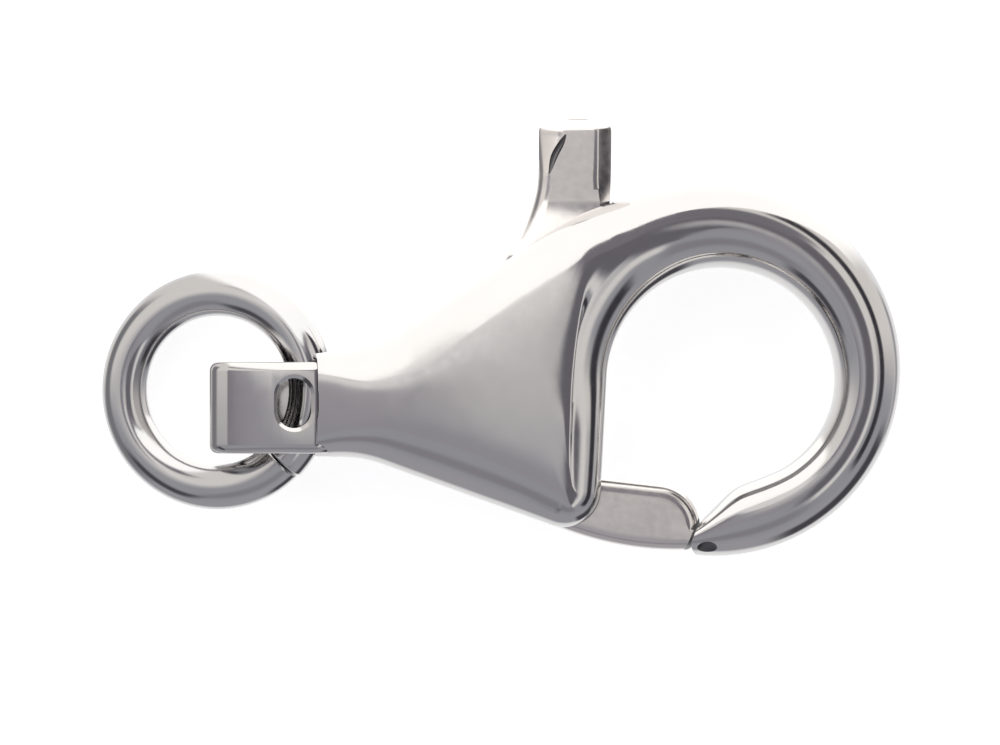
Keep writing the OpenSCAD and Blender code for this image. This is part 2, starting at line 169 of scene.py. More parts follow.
# Sections of the hook: place from 0 at its top to 1 at its tip, shares of OPENING_R and HOOK_T
HOOK = [
    (0.00, 1.00, 1.00), (0.27, 1.00, 0.93), (0.50, 1.00, 0.85), (0.66, 0.97, 0.80), (0.76, 0.942, 0.77),
    (0.85, 0.916, 0.75), (0.92, 0.93, 0.73), (0.96, 0.995, 0.71), (1.00, 1.13, 0.67), (1.05, 1.36, 0.62)]
# Where along the body the neck's low wall ends, and where the flat face turns into the hook's crown
FACE_FROM, FACE_TO, CROWN_FROM = 0.5, 0.98, 0.64
# Where it starts to thin towards the hook, the crown's flat share, and the walls as shares of EDGE_WALL
THIN_FROM, CROWN_FLAT, NECK_WALL, HOOK_WALL = 0.60, 0.12, 0.65, 0.2
# Place of the crown across the hook, as a share of the local width from the outer edge
CROWN = [(0.00, 0.46), (0.27, 0.53), (0.50, 0.57), (1.05, 0.57)]
# The hook is drawn a little past its tip, which is cut later
PAST_TIP = 1.05
# The neck's softened end: its radius, the length of neck for a whole place, and its sections
NECK_SOFT, NECK_PACE, NECK_ROWS = 0.16, 11.0, 8
TIP_R = GATE_REACH + TIP_GAP
RIM_R = HOOK_R - HOOK_SIDE_W / 2
tip_bend = math.acos(
    (HOOK_X ** 2 + HOOK_Y ** 2 + RIM_R ** 2 - TIP_R ** 2) / (2 * math.hypot(HOOK_X, HOOK_Y) * RIM_R))
HOOK_TURN = math.radians(270) - math.atan(HOOK_Y / HOOK_X) - tip_bend


def shell_stations(n_body, n_hook):
    """Left and right edge, half thickness, half wall, two roundings and the crown share, per section."""
    t = np.r_[NECK_SOFT / NECK_PACE * (1 - np.cos(np.linspace(0, math.pi / 2, NECK_ROWS + 1)))[:-1],
              np.linspace(NECK_SOFT / NECK_PACE, 1, n_body, endpoint=False)]
    upper, lower = place(upper_line, column(BODY, 1, t)), place(lower_line, column(BODY, 2, t))
    dip = np.clip(1 - t * NECK_PACE / NECK_SOFT, 0, 1)
    shrink = NECK_SOFT * (1 - np.sqrt(1 - dip ** 2))
    inward = unit(lower[0] - upper[0]) * shrink[:, None]
    upper, lower = upper + inward, lower - inward
    neckness = 1 - ease(t / FACE_FROM)
    hookness = ease((t - THIN_FROM) / (1 - THIN_FROM))
    crest = float(column(CROWN, 1, 0))
    crown = ease((t - CROWN_FROM) / (FACE_TO - CROWN_FROM))
    width = np.linalg.norm(upper - lower, axis=1)
    body = (
        upper,
        lower,
        mix(BODY_T, HOOK_T, hookness) / 2 - shrink,
        EDGE_WALL * (1 - (1 - NECK_WALL) * neckness - (1 - HOOK_WALL) * hookness) - shrink,
        mix(EDGE_ROUND * column(BODY, 3, t), width * (crest - CROWN_FLAT / 2), crown),
        mix(EDGE_ROUND * column(BODY, 4, t), width * (1 - crest - CROWN_FLAT / 2), crown),
        crown)
    t = PAST_TIP * np.arange(n_hook + 1) / n_hook
    angle = math.pi / 2 - HOOK_TURN * t
    outer = polar((HOOK_X, HOOK_Y), HOOK_R, angle)
    inner = polar(OPENING, OPENING_R * column(HOOK, 1, t), angle)
    width = np.linalg.norm(outer - inner, axis=1)
    thick = column(HOOK, 2, t)
    crest = column(CROWN, 1, t)
    hook = (
        outer,
        inner,
        HOOK_T / 2 * thick,
        HOOK_WALL * EDGE_WALL * thick,
        width * (crest - CROWN_FLAT / 2),
        width * (1 - crest - CROWN_FLAT / 2),
        np.ones_like(t))
    return [np.concatenate(pair) for pair in zip(body, hook)]


# How far from the neck's end the body reaches its full thickness, and how its faces fall beside the
# mouth: by how much, over which distance, from which y on, and up to which x
RISE, FALL, FALL_REACH, FALL_LOW, FALL_FULL, FALL_FADE, FALL_END = 5.6, 0.15, 1.5, 0.3, 1.7, 1.6, 3.2
mouth_edge = lower_line[lower_line[:, 0] > mouth_corner[0] - CORNER_R / 2][::3]


def body_drop(at):
    """How much lower than the body's full thickness its faces lie at a place."""
    share = np.clip((at[..., 0] - NECK_END) / RISE, 0, 1)
    neck = (BODY_T - NECK_T) / 2 * (1 - np.sin(share * math.pi / 2))
    away = np.linalg.norm(at[..., None, :2] - mouth_edge, axis=-1).min(axis=-1)
    here = ease((at[..., 1] - FALL_LOW) / (FALL_FULL - FALL_LOW))
    here = here * (1 - ease((at[..., 0] - FALL_FADE) / (FALL_END - FALL_FADE)))
    return neck + FALL * here * np.clip(1 - away / FALL_REACH, 0, 1) ** 2


# The ring's wire and the eye that it hangs in
RING_MEAN = (RING_D - RING_WIRE) / 2
RING_Y = LOOP_Y + RING_SHIFT
eye_side = RING_Y - (NECK_LOW - DROOP)
RING_SAG = RING_MEAN - math.sqrt(RING_MEAN ** 2 - eye_side ** 2)
# Shares of the wire's bow across the loop that the eye leaves below and above the wire
SAG_DOWN, SAG_UP = 0.3, 0.9
EYE_H = RING_WIRE + (SAG_UP + SAG_DOWN) * RING_SAG + 2 * RING_PLAY
EYE_ROUND, EYE_DEPTH = 0.45, 0.57
LOOP_END = NECK_END - LOOP_LEN
EYE_RIGHT = NECK_END + EYE_DEPTH
PIVOT_X = EYE_RIGHT - 2 * RING_PLAY - RING_WIRE / 2
PIVOT_Z = MID - EYE_H / 2 + RING_PLAY + RING_WIRE / 2 + SAG_DOWN * RING_SAG
RING_TILT = math.asin((PIVOT_Z - RING_WIRE / 2) / (2 * RING_MEAN))

# The lever's gate, with places along it as shares of its reach
GATE_MID, GATE_END, GATE_HEAD = [share * GATE_REACH for share in (0.433, 0.957, 0.65)]
GATE_LOW = lower_bend[1] - (GATE_MID - lower_bend[0]) * LOW_TAN
GATE_SWEEP, GATE_TAPER, GATE_CORNER, GATE_CHIN = 6.8, 6.5, 0.95, 0.3
GATE_START = -EYE_R / 2
LEVER_HALF = SLOT_W / 2 - LEVER_GAP


def gate_top(x):
    """The height of the gate's upper edge."""
    return GATE_LOW + GATE_W - (x - GATE_HEAD) * math.tan(math.radians(GATE_TAPER))


gate_upper = rounded([
    ((GATE_START, gate_top(GATE_START)), 0),
    ((GATE_END, gate_top(GATE_END)), GATE_CORNER),
    ((GATE_END, GATE_LOW + GATE_CHIN * GATE_W), 0)])
gate_lower = rounded([
    ((GATE_START, GATE_LOW + (GATE_MID - GATE_START) * LOW_TAN), 0),
    ((GATE_MID, GATE_LOW), GATE_SWEEP),
    ((GATE_END, GATE_LOW), 0)])

# The lever's arm: share of its height, left side as a share of ARM_W, right side as one of TAB_W
ARM = [
    (0.000, -0.52, 0.25), (0.380, -0.52, 0.26), (0.500, -0.60, 0.38), (0.560, -0.76, 0.47),
    (0.603, -0.95, 0.55), (0.663, -0.675, 0.65), (0.733, -0.485, 0.73), (0.817, -0.345, 0.76),
    (0.960, -0.32, 0.77), (1.000, -0.32, 0.77)]
TAB_ROUND, TAB_TURN, TAB_FACET, RIGHT_FACET = 0.28, math.radians(85), 0.48, 0.3
ARM_THIN, GATE_ROUND = 0.2, 0.3
TAB_RIGHT = ARM[-1][2] * TAB_W
TAB_TOP = HOOK_TOP - SHOULDER_R + math.sqrt(SHOULDER_R ** 2 - (HOOK_X - TAB_RIGHT) ** 2) + TAB_H
# From which share of the height on, and over how much of it, the left facet widens, the right facet
# widens and the arm thins
LEFT_GROWS, RIGHT_GROWS, ARM_THINS = (0.845, 0.11), (0.74, 0.1), (0.61, 0.17)
# How much of the lever's edge rounding its end may take
END_SHARE = 0.9


def gate_stations(n):
    """The gate's sections, as loft takes them."""
    t = np.arange(n + 1) / n
    one = np.ones_like(t)
    return [place(gate_upper, t), place(gate_lower, t), one * LEVER_HALF, one * (LEVER_HALF - GATE_ROUND),
            one * GATE_ROUND, one * LEVER_ROUND, one * 0]


def arm_stations(n_arm, n_tab):
    """The arm's sections up to the thumb tab's rounded end, as loft takes them."""
    share = TAB_ROUND / TAB_TOP
    t = np.r_[np.arange(n_arm + 1) / n_arm * (1 - share),
              1 - share * (1 - np.sin(TAB_TURN * np.arange(1, n_tab + 1) / n_tab))]
    y = TAB_TOP * t
    dip = np.maximum(0, y - (TAB_TOP - TAB_ROUND)) / TAB_ROUND
    shrink = TAB_ROUND * (1 - np.sqrt(1 - dip ** 2))
    one = np.ones_like(t)
    left, right = ARM_W * column(ARM, 1, t) + shrink, TAB_W * column(ARM, 2, t) - shrink
    facet = mix(LEVER_ROUND, TAB_FACET, np.clip((t - LEFT_GROWS[0]) / LEFT_GROWS[1], 0, 1))
    right_facet = mix(LEVER_ROUND, RIGHT_FACET, ease((t - RIGHT_GROWS[0]) / RIGHT_GROWS[1]))
    thin = ARM_THIN * ease((t - ARM_THINS[0]) / ARM_THINS[1])
    half = LEVER_HALF - thin - np.minimum(shrink, END_SHARE * LEVER_ROUND)
    return [np.stack([left, y], 1), np.stack([right, y], 1), half, LEVER_HALF - thin - LEVER_ROUND,
            facet, right_facet, one]


# The crease beside the tab's left facet, its faces painted dark as shade: share of its length, place x and
# y, radius. Its cutter's middle lies a little outside the face
CREASE = [
    (0.00, 0.21, 7.46, 0.035), (0.30, 0.09, 7.24, 0.085), (0.62, -0.05, 6.97, 0.090),
    (1.00, -0.15, 6.60, 0.035)]
CREASE_LIFT = 0.03

# The pocket for the lever, from its closed to its open place. The last three are shares of its height
SWING_GAP, SPARE_ANGLE, FLARE, WALL_AT, EXIT_AT = 0.06, 1.5, 0.603, 0.1, 0.8
swing = math.radians(OPEN_ANGLE + SPARE_ANGLE)


def turned(x, y):
    """A place on the lever when it is open."""
    return (x * math.cos(swing) - y * math.sin(swing), x * math.sin(swing) + y * math.cos(swing))


def pocket_outline(steps=40):
    """All that the lever sweeps on its way, with a gap, open below and above."""
    left = [turned(ARM_W * float(column(ARM, 1, t)) - SWING_GAP, TAB_TOP * t)
            for t in FLARE * np.arange(steps, 0, -1) / steps]
    right = [(TAB_W * float(column(ARM, 2, t)) + SWING_GAP, TAB_TOP * t)
             for t in WALL_AT + (EXIT_AT - WALL_AT) * np.arange(steps + 1) / steps]
    roof = turned(GATE_END, gate_top(GATE_END) + SWING_GAP)
    fall = math.tan(swing - math.radians(GATE_TAPER))
    heel = -EYE_R - SWING_GAP
    return ([(heel, 0), (heel, -THROUGH), (GATE_END, -THROUGH), roof,
             (right[0][0], roof[1] - (roof[0] - right[0][0]) * fall)]
            + right + [(right[-1][0], THROUGH), (left[0][0], THROUGH)] + left)


# Cutters whose faces are left unpolished and rougher, and painted dark to stand for the shade that falls in
# recesses
PAINTED_SHADE_CUTTERS = ("pocket", "pocket_eye", "bore", "eye", "tip", "tip_dent", "pin_hole", "gate_end", "crease")


def mesh_object(name, points, faces):
    """A new mesh with two material places, the second for what a recess's cutter leaves: a rougher face with
    painted shade.
    """
    mesh = bpy.data.meshes.new(name)
    mesh.from_pydata([tuple(p) for p in np.asarray(points, float)], [], faces)
    mesh.materials.append(None)
    mesh.materials.append(None)
    tidy = bmesh.new()
    tidy.from_mesh(mesh)
    bmesh.ops.recalc_face_normals(tidy, faces=tidy.faces)
    for face in tidy.faces:
        face.material_index = int(name in PAINTED_SHADE_CUTTERS)
    tidy.to_mesh(mesh)
    tidy.free()
    made = bpy.data.objects.new(name, mesh)
    bpy.context.scene.collection.objects.link(made)
    return made


def skin(rows, n, ends=True):
    """The faces over rings of n points, closed by two ends or else joined into a loop."""
    faces = [(i * n + k, (i + 1) % rows * n + k, (i + 1) % rows * n + (k + 1) % n, i * n + (k + 1) % n)
             for i in range(rows - 1 if ends else rows) for k in range(n)]
    if ends:
        faces += [tuple(range(n)), tuple(range((rows - 1) * n, rows * n))]
    return faces


def blur(line, width):
    """A row of numbers smoothed by a width in steps, with its two ends kept."""
    reach = min(int(3 * width) + 1, len(line) - 1)
    weight = np.exp(-0.5 * (np.arange(-reach, reach + 1) / width) ** 2)
    padded = np.r_[2 * line[0] - line[reach:0:-1], line, 2 * line[-1] - line[-2:-reach - 2:-1]]
    return np.convolve(padded, weight / weight.sum(), "valid")


def soften(grid, width, spread, count=240):
    """Blends the parts of a top face: along each section by a width in mm, and heights over sections."""
    for row in grid:
        steps = np.r_[0, np.cumsum(np.linalg.norm(np.diff(row, axis=0), axis=1))]
        even = np.linspace(0, steps[-1], count)
        for k in range(3):
            row[:, k] = np.interp(steps, even, blur(np.interp(even, steps, row[:, k]), width / even[1]))
    for k in range(grid.shape[1]):
        grid[NECK_ROWS:, k, 2] = blur(grid[NECK_ROWS:, k, 2], spread)
    return grid


# Share of a face's dome that is one even curve; the rest rolls off near its edges
DOME_BROAD = 0.4
# Over how many sections a softened top's heights are blended
SOFT_ROWS = 14


def dome_height(aside):
    """The dome's height over its edges, for a slope and a width of one, aside from its middle."""
    return DOME_BROAD / 4 * (1 - aside ** 2) + (1 - DOME_BROAD) / 8 * (1 - aside ** 4)


def loft(name, stations, facets, dome, spans, chamfer=(0.0, 0.0), soft=0.0, lift=0.0, drop=None):
    """A closed solid through all stations, with so many facets to a rounded edge and spans to a top
    face. Dome is the slope of that face at its edges, chamfer says how flat the two rounded edges are,
    soft is the width in mm over which the top's parts blend, and lift is how much higher the right wall
    stands than the left one. Drop lowers the faces by the place."""
    left, right, half, wall, left_r, right_r, across = stations
    right_wall = wall + lift

    def heading(p):
        """Which way an edge runs at each of its points."""
        way = np.gradient(p, axis=0)
        return way / np.linalg.norm(way, axis=1, keepdims=True)

    a, b = heading(left), heading(right)
    over = (right - left) / np.linalg.norm(right - left, axis=1, keepdims=True)
    s = across[:, None]
    left_in = mix(np.stack([a[:, 1], -a[:, 0]], 1), over, s)
    right_in = mix(np.stack([-b[:, 1], b[:, 0]], 1), -over, s)
    left_in /= np.linalg.norm(left_in, axis=1, keepdims=True)
    right_in /= np.linalg.norm(right_in, axis=1, keepdims=True)

    def flank(edge, inward, r, last, top, flat, wall):
        """The rounded edges of all sections, from the wall up to the top."""
        g = np.linspace(0, 1, facets + 1) * last[:, None]
        even = g / last[:, None]
        z = mix(wall[:, None], top[:, None], mix(np.sin(g) / np.sin(last[:, None]), even, flat))
        reach = r[:, None] * mix(1 - np.cos(g), even, flat)
        return np.dstack([edge[:, None] + inward[:, None] * reach[..., None], z])

    square = np.full(len(half), math.pi / 2)
    below = [flank(left, left_in, left_r, square, half, chamfer[0], wall),
             flank(right, right_in, right_r, square, half, chamfer[1], right_wall)]
    face = np.linalg.norm(below[0][:, -1, :2] - below[1][:, -1, :2], axis=1)
    edge_top = half - face * dome * dome_height(0)
    last_left = np.arctan2(edge_top - wall, left_r * dome)
    last_right = np.arctan2(edge_top - right_wall, right_r * dome)
    above = [flank(left, left_in, left_r, last_left, edge_top, chamfer[0], wall),
             flank(right, right_in, right_r, last_right, edge_top, chamfer[1], right_wall)]
    share = (np.arange(1, spans) / spans)[None, :, None]
    face_top = mix(above[0][:, -1:], above[1][:, -1:], share)
    face_top[..., 2] = edge_top[:, None] + (face * dome)[:, None] * dome_height(2 * share[..., 0] - 1)
    top = np.concatenate([above[0], face_top, above[1][:, ::-1]], axis=1)
    if soft:
        soften(top, soft, SOFT_ROWS)
    if drop:
        for side in (top, *below):
            share = np.clip((side[..., 2] - wall[:, None]) / (half - wall)[:, None], 0, 1)
            side[..., 2] -= drop(side) * share
    down = (1, 1, -1)
    grid = np.concatenate([top, below[1] * down, below[0][:, ::-1] * down], axis=1) + (0, 0, MID)
    return mesh_object(name, grid.reshape(-1, 3), skin(*grid.shape[:2]))


def prism(name, outline, low, high, along="z", other=None):
    """An outline drawn out along z, to another one if given, or one in x and z drawn out along y."""
    n = len(outline)
    ends = ((low, outline), (high, outline if other is None else other))
    points = [(p[0], p[1], h) if along == "z" else (p[0], h, p[1]) for h, line in ends for p in line]
    faces = [tuple(range(n)), tuple(range(n, 2 * n))]
    faces += [(k, (k + 1) % n, n + (k + 1) % n, n + k) for k in range(n)]
    return mesh_object(name, points, faces)


def circle(centre, r, n):
    """A circle's outline of n points."""
    return polar(centre, r, 2 * math.pi * np.arange(n) / n)


def round_box(x0, x1, z0, z1, r, n=16, fill=12):
    """A rectangle's outline, anticlockwise from its lower right corner, with n steps in each rounded
    corner and fill steps along each side."""
    g = np.linspace(0, math.pi / 2, n + 1)
    corners = ((x1 - r, z0 + r, -0.5), (x1 - r, z1 - r, 0), (x0 + r, z1 - r, 0.5), (x0 + r, z0 + r, 1))
    arcs = [polar((x, z), r, g + turn * math.pi) for x, z, turn in corners]
    share = (np.arange(1, fill) / fill)[:, None]
    sides = [mix(arcs[k][-1], arcs[(k + 1) % 4][0], share) for k in range(4)]
    return np.concatenate([part for pair in zip(arcs, sides) for part in pair])


def strap_ring(name, outer, inner, y0, y1, soft, n):
    """A flat strap bent to a loop between two outlines in x and z, with softened long edges."""
    way = inner - outer
    deep = np.linalg.norm(way, axis=1)
    way /= deep[:, None]
    g = np.linspace(0, math.pi / 2, n + 1)
    depth = np.r_[soft * (1 - np.sin(g)), soft * (1 - np.cos(g))]
    y = np.r_[y0 + soft * (1 - np.cos(g)), y1 - soft * (1 - np.sin(g))]
    in_depth = deep[:, None] - depth[None, ::-1]
    reach = np.concatenate([np.broadcast_to(depth, in_depth.shape), in_depth], axis=1)
    across = np.r_[y, y[::-1]]
    flat = outer[:, None] + way[:, None] * reach[..., None]
    grid = np.stack([flat[..., 0], np.broadcast_to(across, reach.shape), flat[..., 1]], -1)
    return mesh_object(name, grid.reshape(-1, 3), skin(*reach.shape, ends=False))


def cut(target, operation, tools):
    """Joins tools to the target or takes them off it, and removes the tools."""
    for tool in tools:
        step = target.modifiers.new(tool.name, "BOOLEAN")
        step.operation, step.object, step.solver = operation, tool, "MANIFOLD"
        graph = bpy.context.evaluated_depsgraph_get()
        mesh = bpy.data.meshes.new_from_object(target.evaluated_get(graph))
        target.modifiers.clear()
        target.data = mesh
        bpy.data.objects.remove(tool)


# The least angle of a sharp edge in degrees, on a piece and on the ring, and how much broad faces
# decide the shading
SHARP, RING_SHARP, BROAD_WEIGHT = 32, 50, 60


def finish_metal(made, sharp):
    """Scales a piece from millimetres to metres and shades it smooth, but sharp past an angle."""
    mesh = made.data
    mesh.transform(((MM, 0, 0, 0), (0, MM, 0, 0), (0, 0, MM, 0), (0, 0, 0, 1)))
    mesh.shade_smooth()
    mesh.set_sharp_from_angle(angle=math.radians(sharp))
    weigh = made.modifiers.new("weigh", "WEIGHTED_NORMAL")
    weigh.keep_sharp, weigh.weight = True, BROAD_WEIGHT
    made.data = bpy.data.meshes.new_from_object(made.evaluated_get(bpy.context.evaluated_depsgraph_get()))
    made.modifiers.clear()
    return made


# Body: shell, strap and what is cut out of them. Overlapping solids differ by a hair, so that no two
# faces lie in one plane
HAIR = 0.003
BODY_ROWS, HOOK_ROWS, BODY_FACETS, BODY_SPANS, FACE_DOME, FACE_SOFT = 220, 220, 16, 28, 0.09, 0.12
stations = shell_stations(BODY_ROWS, HOOK_ROWS)
along = np.linspace(0, 1, NECK_ROWS + BODY_ROWS)
along = np.r_[along, np.ones(len(stations[0]) - len(along))]
# The wall beside the mouth stands higher than the others
MOUTH_LIFT, LIFT_START, LIFT_FULL, LIFT_FALL, LIFT_END = 0.35, 0.36, 0.50, 0.74, 0.99
lift = MOUTH_LIFT * ease((along - LIFT_START) / (LIFT_FULL - LIFT_START))
lift *= 1 - ease((along - LIFT_FALL) / (LIFT_END - LIFT_FALL))
body = loft("clasp_body", stations, BODY_FACETS, FACE_DOME, BODY_SPANS, soft=FACE_SOFT, lift=lift,
            drop=body_drop)
# The strap runs into the neck, and thins a little towards its bent end
STRAP_IN, STRAP_BACK, STRAP_THIN, STRAP_SOFT, STRAP_FACETS = 0.1, 0.2, 0.12, 0.2, 8
strap_top, strap_right = EYE_H / 2 + LOOP_WALL, NECK_END + STRAP_IN + LOOP_CORNER
strap_out = round_box(LOOP_END, strap_right, MID - strap_top, MID + strap_top, LOOP_CORNER)
strap_in = round_box(LOOP_END + LOOP_WALL, strap_right - STRAP_BACK, MID - EYE_H / 2, MID + EYE_H / 2,
                     EYE_ROUND)
bent = np.clip((NECK_END - strap_out[:, 0]) / LOOP_LEN, 0, 1)
strap_out[:, 1] = MID + (strap_out[:, 1] - MID) * (1 - STRAP_THIN * bent ** 2)
strap_sides = (LOOP_Y - LOOP_W / 2, LOOP_Y + LOOP_W / 2)
cut(body, "UNION", [strap_ring("strap", strap_out, strap_in, *strap_sides, STRAP_SOFT, STRAP_FACETS)])
slot_box = (MID - SLOT_W / 2, MID + SLOT_W / 2)

# How the window's sharp edge is taken off: its depth below the strap's top, the cutter's height over
# the middle and how far it widens to there
WINDOW_EDGE, WINDOW_UP, WINDOW_FLARE = 0.07, 2, 0.9


def stadium(grow, steps=32):
    """The window's outline, grown by a margin."""
    r, x = WINDOW_W / 2 + grow, NECK_END + WINDOW_OVER - WINDOW_W / 2
    reach = (WINDOW_LEN - WINDOW_W) / 2
    g = np.linspace(0, math.pi, steps + 1)
    return np.concatenate([polar((x, LOOP_Y + WINDOW_SHIFT + side * reach), r, g + turn)
                           for side, turn in ((1, 0), (-1, math.pi))])


def sink(name, low, high, wide_at, wide):
    """The window's cutter, widening above a height to take the sharp edge off."""
    rings = [(low, 0), (wide_at, 0), (high, wide)]
    n = len(stadium(0))
    points = [(*p, h) for h, grow in rings for p in stadium(grow)]
    faces = [tuple(range(n)), tuple(range(2 * n, 3 * n))]
    faces += [(j * n + k, j * n + (k + 1) % n, (j + 1) * n + (k + 1) % n, (j + 1) * n + k)
              for j in range(2) for k in range(n)]
    return mesh_object(name, points, faces)


eye_outline = round_box(LOOP_END + LOOP_WALL + HAIR, EYE_RIGHT, MID - EYE_H / 2 + HAIR,
                        MID + EYE_H / 2 - HAIR, EYE_ROUND)
# The gate and the tip meet on a slant, so the gap between them shows no light from above
SLANT = 0.14


def end_outline(r, sweep, rest, height, corner, corner_r, way, steps=360):
    """An arc about the pivot at a height, on the slant, rounded at its lower corner towards way, and
    closed by the points in rest."""
    turn = np.radians(np.linspace(*sweep, steps + 1))
    past = np.clip(r * (turn - math.radians(corner)), 0, corner_r)
    bite = corner_r - np.sqrt(corner_r ** 2 - (corner_r - past) ** 2)
    return np.concatenate([polar((0, 0), r + SLANT * (MID - height) + way * bite, turn), rest])


# The cutters of the tip and the gate: what they take off beside the arc, the arc's sweep in degrees
# and their heights. Then the corners: the tip's place in degrees, and both roundings
TIP_REST, GATE_REST = [(GATE_REACH / 2, 0), (GATE_REACH / 2, -3)], [(8, 0), (8, -8)]
TIP_SWEEP, GATE_SWEPT, TIP_SPAN, GATE_SPAN = (-60, 0), (-50, 0), (0.3, 3.1), (0.9, 2.5)
TIP_CORNER, TIP_CORNER_R, GATE_CORNER_R = -29.5, 0.3, 0.36
tip_outlines = [end_outline(TIP_R, TIP_SWEEP, TIP_REST, h, TIP_CORNER, TIP_CORNER_R, 1) for h in TIP_SPAN]
gate_outlines = []
for h in GATE_SPAN:
    corner_reach = GATE_REACH + SLANT * (MID - h) - GATE_CORNER_R
    gate_corner = -math.degrees(math.asin(-GATE_LOW / corner_reach))
    gate_outlines.append(end_outline(GATE_REACH, GATE_SWEPT, GATE_REST, h, gate_corner, GATE_CORNER_R, -1))

# A small round dent on the tip's outer corner, its faces painted dark as shade like the other recess cuts
DENT_AT, DENT_R = (3.28, -1.71, 2.545), 0.34


def ball(name, centre, r, n=24):
    """A round cutter."""
    tilt = np.linspace(0, math.pi, n + 1)[1:-1, None]
    turn = 2 * math.pi * np.arange(2 * n) / (2 * n)
    grid = np.stack([r * np.sin(tilt) * np.cos(turn), r * np.sin(tilt) * np.sin(turn),
                     r * np.cos(tilt) * np.ones_like(turn)], -1) + centre
    return mesh_object(name, grid.reshape(-1, 3), skin(*grid.shape[:2]))


def groove(name, way, steps=30, n=16):
    """A round cutter along the tab's crease, on its upper or lower face."""
    t = np.arange(steps + 1)[:, None] / steps
    turn = -2 * math.pi * np.arange(n) / n
    r = column(CREASE, 3, t)
    face = MID + way * (LEVER_HALF - ARM_THIN + CREASE_LIFT)
    grid = np.stack([column(CREASE, 1, t) + r * np.cos(turn), column(CREASE, 2, t) + 0 * turn,
                     face + r * np.sin(turn)], -1)
    return mesh_object(name, grid.reshape(-1, 3), skin(*grid.shape[:2]))


cut(body, "DIFFERENCE", [
    prism("pocket", pocket_outline(), *slot_box),
    prism("pocket_eye", circle((0, 0), EYE_R + SWING_GAP, HUB_POINTS), slot_box[0] + HAIR,
          slot_box[1] - HAIR),
    prism("bore", circle((0, 0), PIN_R + PIN_SEAT, PIN_POINTS), slot_box[0] - PIN_BITE,
          slot_box[1] + PIN_BITE),
    prism("eye", eye_outline, -THROUGH, THROUGH, "y"),
    sink("window", MID, MID + WINDOW_UP, MID + strap_top - WINDOW_EDGE, WINDOW_FLARE),
    prism("tip", tip_outlines[0], *TIP_SPAN, other=tip_outlines[1]),
    ball("tip_dent", DENT_AT, DENT_R)])
finish_metal(body, SHARP)

# Lever: sections of the arm, the tab's end and the gate, and then the domes and the arm's chamfers
ARM_ROWS, TAB_ROWS, GATE_ROWS, LEVER_FACETS, LEVER_SPANS = 160, 12, 100, 10, 10
ARM_DOME, GATE_DOME, ARM_CHAMFER = 0.002, 0.02, (0.5, 0.9)
lever = loft("clasp_lever", arm_stations(ARM_ROWS, TAB_ROWS), LEVER_FACETS, ARM_DOME, LEVER_SPANS,
             chamfer=ARM_CHAMFER)
gate = gate_stations(GATE_ROWS)
gate[2] = gate[2] - HAIR
cut(lever, "UNION", [
    loft("gate", gate, LEVER_FACETS, GATE_DOME, LEVER_SPANS),
    prism("hub", circle((0, 0), EYE_R, HUB_POINTS), MID - LEVER_HALF + HAIR / 2,
          MID + LEVER_HALF - HAIR / 2)])
cut(lever, "DIFFERENCE", [
    prism("pin_hole", circle((0, 0), PIN_R + PIN_PLAY, PIN_POINTS), -THROUGH, THROUGH),
    prism("gate_end", gate_outlines[0], *GATE_SPAN, other=gate_outlines[1]),
    groove("crease", 1), groove("crease", -1)])
finish_metal(lever, SHARP)

# Jump ring: a bent wire whose two ends meet at a fine cut beside the strap, softened at their edges and
# a little out of line. The step fades over a length, with one share outwards and one upwards. Rows lie
# close together on the softened edges, and each end keeps a small flat
SEAM_AT, SEAM_GAP, SEAM_STEP, SEAM_SOFT = math.radians(-46), 0.03, 0.035, 0.05
STEP_FADE, STEP_OUT, STEP_UP = 0.5, 0.6, 0.5
SEAM_ROWS, SEAM_FULL = (0, 0.04, 0.15, 0.35, 0.65, 1), 0.999


def ring_wire(turns=320, sides=64):
    """The ring's wire from one side of its cut to the other."""
    gap = SEAM_GAP / RING_MEAN
    u = np.linspace(gap / 2, 2 * math.pi - gap / 2, turns)
    extra = SEAM_SOFT * np.array(SEAM_ROWS) / RING_MEAN
    u = np.unique(np.r_[u, u[0] + extra, u[-1] - extra])
    near = np.minimum(u - u[0], u[-1] - u) * RING_MEAN
    dip = np.minimum(np.clip(1 - near / SEAM_SOFT, 0, 1), SEAM_FULL)
    wire = RING_WIRE / 2 - SEAM_SOFT * (1 - np.sqrt(1 - dip ** 2))
    side = np.where(u < math.pi, 1, -1)
    off = SEAM_STEP * side * np.exp(-near / STEP_FADE)
    v = 2 * math.pi * np.arange(sides) / sides
    r = RING_MEAN + off[:, None] * STEP_OUT + wire[:, None] * np.cos(v)
    z = off[:, None] * STEP_UP + wire[:, None] * np.sin(v)
    angle = SEAM_AT + u[:, None]
    flat = np.stack([r * np.cos(angle) - RING_MEAN, r * np.sin(angle), z], -1)
    c, s = math.cos(RING_TILT), math.sin(RING_TILT)
    grid = np.stack([PIVOT_X + c * flat[..., 0] - s * flat[..., 2], RING_Y + flat[..., 1],
                     PIVOT_Z + s * flat[..., 0] + c * flat[..., 2]], -1)
    return mesh_object("ring_wire", grid.reshape(-1, 3), skin(len(u), sides))


ring = finish_metal(ring_wire(), RING_SHARP)


